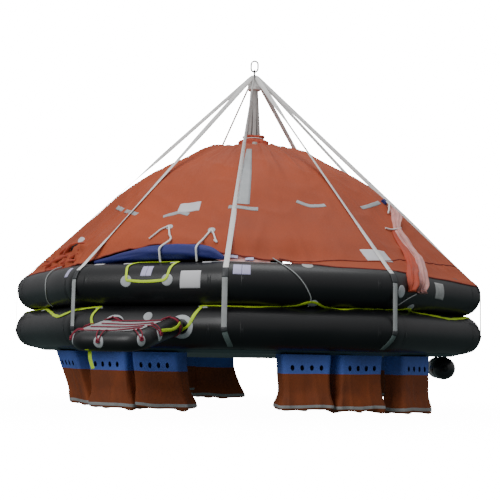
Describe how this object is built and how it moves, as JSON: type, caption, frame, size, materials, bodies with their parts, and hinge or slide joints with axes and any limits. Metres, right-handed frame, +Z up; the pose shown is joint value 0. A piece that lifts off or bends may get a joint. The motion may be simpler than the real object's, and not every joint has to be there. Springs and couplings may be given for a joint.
{
  "type": "davit-launched inflatable life raft",
  "caption": "Ten-sided inflatable life raft with stacked buoyancy tubes, a tent canopy, lifting straps to one link, ballast bags below and a boarding ramp.",
  "frame": {"origin": "where the davit's hook bears in the lifting link, above the middle of the raft", "axes": "+Z up; -Y towards the corner of the raft beside its front doorway; +X to the right of that, as seen from outside the front"},
  "size_m": [4.9714, 5.8117, 3.93],
  "materials": {
    "black_rubber": "satin",
    "floor_fabric": "satin",
    "orange_fabric": "coated matt",
    "blue_fabric": "coated matt",
    "pink_lining": "coated matt",
    "bag_fabric": "coated matt",
    "white_webbing": "woven",
    "yellow_webbing": "woven",
    "deck_fabric": "woven",
    "steel": "dull",
    "bottle_black": "gloss",
    "lamp_plastic": "gloss"
  },
  "bodies": {
    "raft": {"upper_tube": "black_rubber", "lower_tube": "black_rubber", "floor": "floor_fabric", "canopy_crown": "orange_fabric", "canopy_collar": "orange_fabric", "canopy_lamp": "lamp_plastic", "canopy_arch_front": "black_rubber", "canopy_arch_rear": "black_rubber", "door_roll_front": "blue_fabric", "door_roll_rear": "blue_fabric", "port_sleeve": "pink_lining", "strap_head": "white_webbing", "inner_strap_bundle": "white_webbing", "lifting_link": "steel", "bow_shackle": "steel", "shackle_pin": "steel", "gas_cylinder": "bottle_black", "lifeline": "yellow_webbing", "canopy_gore_01": "orange_fabric", "canopy_gore_02": "orange_fabric", "canopy_gore_03": "orange_fabric", "canopy_gore_04": "orange_fabric", "canopy_gore_05": "orange_fabric", "canopy_gore_06": "orange_fabric", "canopy_gore_07": "orange_fabric", "canopy_gore_08": "orange_fabric", "canopy_gore_09": "orange_fabric", "canopy_gore_10": "orange_fabric", "lifting_strap_01": "white_webbing", "lifting_strap_02": "white_webbing", "lifting_strap_03": "white_webbing", "lifting_strap_04": "white_webbing", "lifting_strap_05": "white_webbing", "lifting_strap_06": "white_webbing", "lifting_strap_07": "white_webbing", "lifting_strap_08": "white_webbing", "lifting_strap_09": "white_webbing", "lifting_strap_10": "white_webbing", "ballast_bag_01": "bag_fabric", "ballast_bag_02": "bag_fabric", "ballast_bag_03": "bag_fabric", "ballast_bag_04": "bag_fabric", "ballast_bag_05": "bag_fabric", "ballast_bag_06": "bag_fabric", "ballast_bag_07": "bag_fabric", "ballast_bag_08": "bag_fabric", "ballast_bag_09": "bag_fabric", "ballast_bag_10": "bag_fabric", "ballast_bag_11": "bag_fabric", "ballast_bag_12": "bag_fabric"},
    "ramp": {"ramp_tube": "black_rubber", "ramp_deck": "deck_fabric"}
  },
  "joints": [
    {"name": "ramp_hinge", "type": "hinge", "parent": "raft", "child": "ramp", "pos_m": [-0.74302, -2.44858, -3.17], "axis": [-0.9511, 0.309, 0], "range_deg": [-45, 55]}
  ]
}
